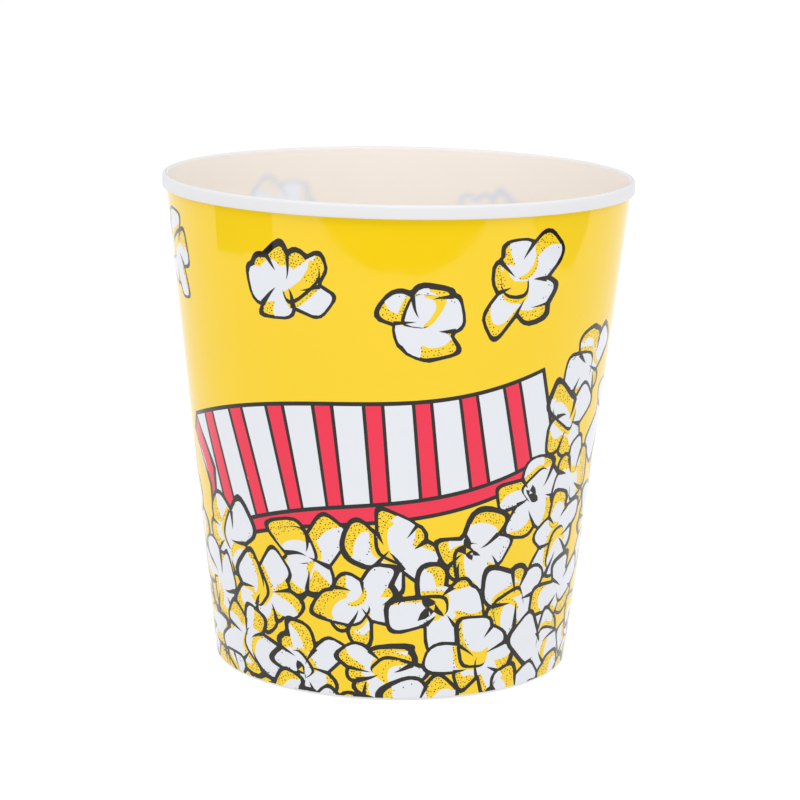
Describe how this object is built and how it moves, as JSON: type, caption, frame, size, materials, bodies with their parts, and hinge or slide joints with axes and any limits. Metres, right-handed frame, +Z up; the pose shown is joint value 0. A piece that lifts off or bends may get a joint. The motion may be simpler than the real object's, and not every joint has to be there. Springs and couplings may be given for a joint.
{
  "type": "popcorn bucket",
  "caption": "Round tapered plastic bucket with a thick rounded lip and a foot ring, for serving popcorn, with a printed yellow outside.",
  "frame": {"origin": "centre of the base, on the plane of the foot ring", "axes": "+Z up along the bucket's axis, -Y towards the front of the print, +X to the right seen from the front"},
  "size_m": [0.184, 0.184, 0.1925],
  "materials": {
    "bucket_plastic": "white polypropylene, smooth and glossy",
    "printed_label": "glossy yellow printed film moulded onto the wall"
  },
  "bodies": {
    "root": {"bucket": "bucket_plastic"}
  },
  "joints": []
}
